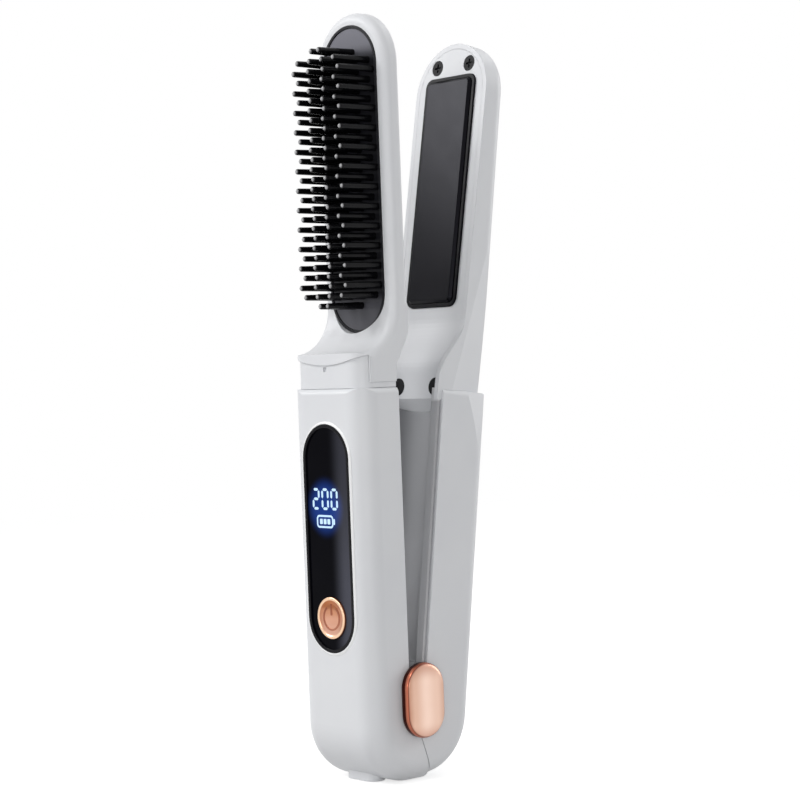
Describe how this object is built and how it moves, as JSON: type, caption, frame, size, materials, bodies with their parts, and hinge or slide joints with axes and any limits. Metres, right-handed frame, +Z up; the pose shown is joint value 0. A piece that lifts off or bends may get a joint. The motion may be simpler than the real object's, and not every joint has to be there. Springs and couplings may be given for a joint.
{
  "type": "folding hair straightener with comb",
  "caption": "Two-arm hair tool standing open in a narrow V: a comb with moulded teeth and a lit control panel on the front arm, facing heating plates, and a sprung hinge with oval caps.",
  "frame": {"origin": "middle of the assumed charging port's mouth in the flat foot of the front handle", "axes": "+X along the hinge pin, +Y from the comb side towards the rear arm, +Z up the upright front arm"},
  "size_m": [0.0378, 0.0616, 0.2115],
  "materials": {
    "white_shell": "satin gloss light plastic",
    "insert_grey": "satin mid grey plastic",
    "comb_grey": "satin dark grey heat-proof plastic",
    "tooth_black": "gloss black heat-proof plastic",
    "frame_black": "satin black heat-proof plastic",
    "plate_coating": "ceramic-coated aluminium, dark",
    "panel_black": "gloss black panel",
    "rose_gold": "rose-gold plated plastic",
    "steel": "bright steel",
    "black_steel": "black-oxide steel",
    "heater_metal": "heater in a foil sleeve",
    "mica": "pressed insulation sheet",
    "silicone": "red-brown silicone",
    "black_rubber": "matt black rubber",
    "board_green": "green circuit board",
    "display_dark": "dark blue display block",
    "switch_grey": "grey switch body",
    "cell_wrap": "battery cell in blue film",
    "cradle_grey": "grey plastic",
    "ceramic": "cream ceramic",
    "port_black": "black plastic"
  },
  "bodies": {
    "front_arm": {"front_handle_shell": "white_shell", "collar_ring": "white_shell", "front_head_shell": "white_shell", "front_inner_cover": "insert_grey", "front_head_cover": "white_shell", "comb_base": "comb_grey", "comb_teeth": "tooth_black", "comb_heater": "heater_metal", "insulation_sheet": "mica", "front_plate_frame": "frame_black", "front_plate": "plate_coating", "front_plate_heater": "heater_metal", "front_cover_screws": "black_steel", "panel_bezel": "panel_black", "panel_lens": "panel_black", "display_module": "display_dark", "button_switch": "switch_grey", "circuit_board": "board_green", "battery_cell": "cell_wrap", "battery_cradle": "cradle_grey", "port_board": "board_green", "charging_port": "steel", "port_tongue": "port_black", "hinge_pin": "steel", "hinge_washers": "cradle_grey", "hinge_spring": "steel", "hinge_cap_left": "rose_gold", "hinge_cap_right": "rose_gold"},
    "rear_arm": {"rear_handle_shell": "white_shell", "rear_inner_cover": "insert_grey", "rear_head_shell": "white_shell", "rear_head_cover": "white_shell", "rear_plate_frame": "frame_black", "plate_cushions": "silicone", "thermal_fuse": "ceramic", "head_screws": "black_steel", "neck_screws": "steel", "rubber_plugs": "black_rubber"},
    "button": {"power_button": "rose_gold"},
    "floating_plate": {"rear_plate": "plate_coating", "rear_plate_heater": "heater_metal"}
  },
  "joints": [
    {"name": "arm_hinge", "type": "hinge", "parent": "front_arm", "child": "rear_arm", "pos_m": [0, 0.007, 0.0224], "axis": [1, 0, 0], "range_deg": [0, 9.9], "stiffness_Nm_per_rad": 0.5, "springref_deg": -34.38},
    {"name": "button_press", "type": "slide", "parent": "front_arm", "child": "button", "axis": [0, 1, 0], "range_m": [0, 0.0005], "stiffness_N_per_m": 600, "springref_m": -0.0015},
    {"name": "plate_float", "type": "slide", "parent": "rear_arm", "child": "floating_plate", "axis": [0, 0.9851, -0.1719], "range_m": [0, 0.0006], "stiffness_N_per_m": 3000, "springref_m": -0.001}
  ]
}
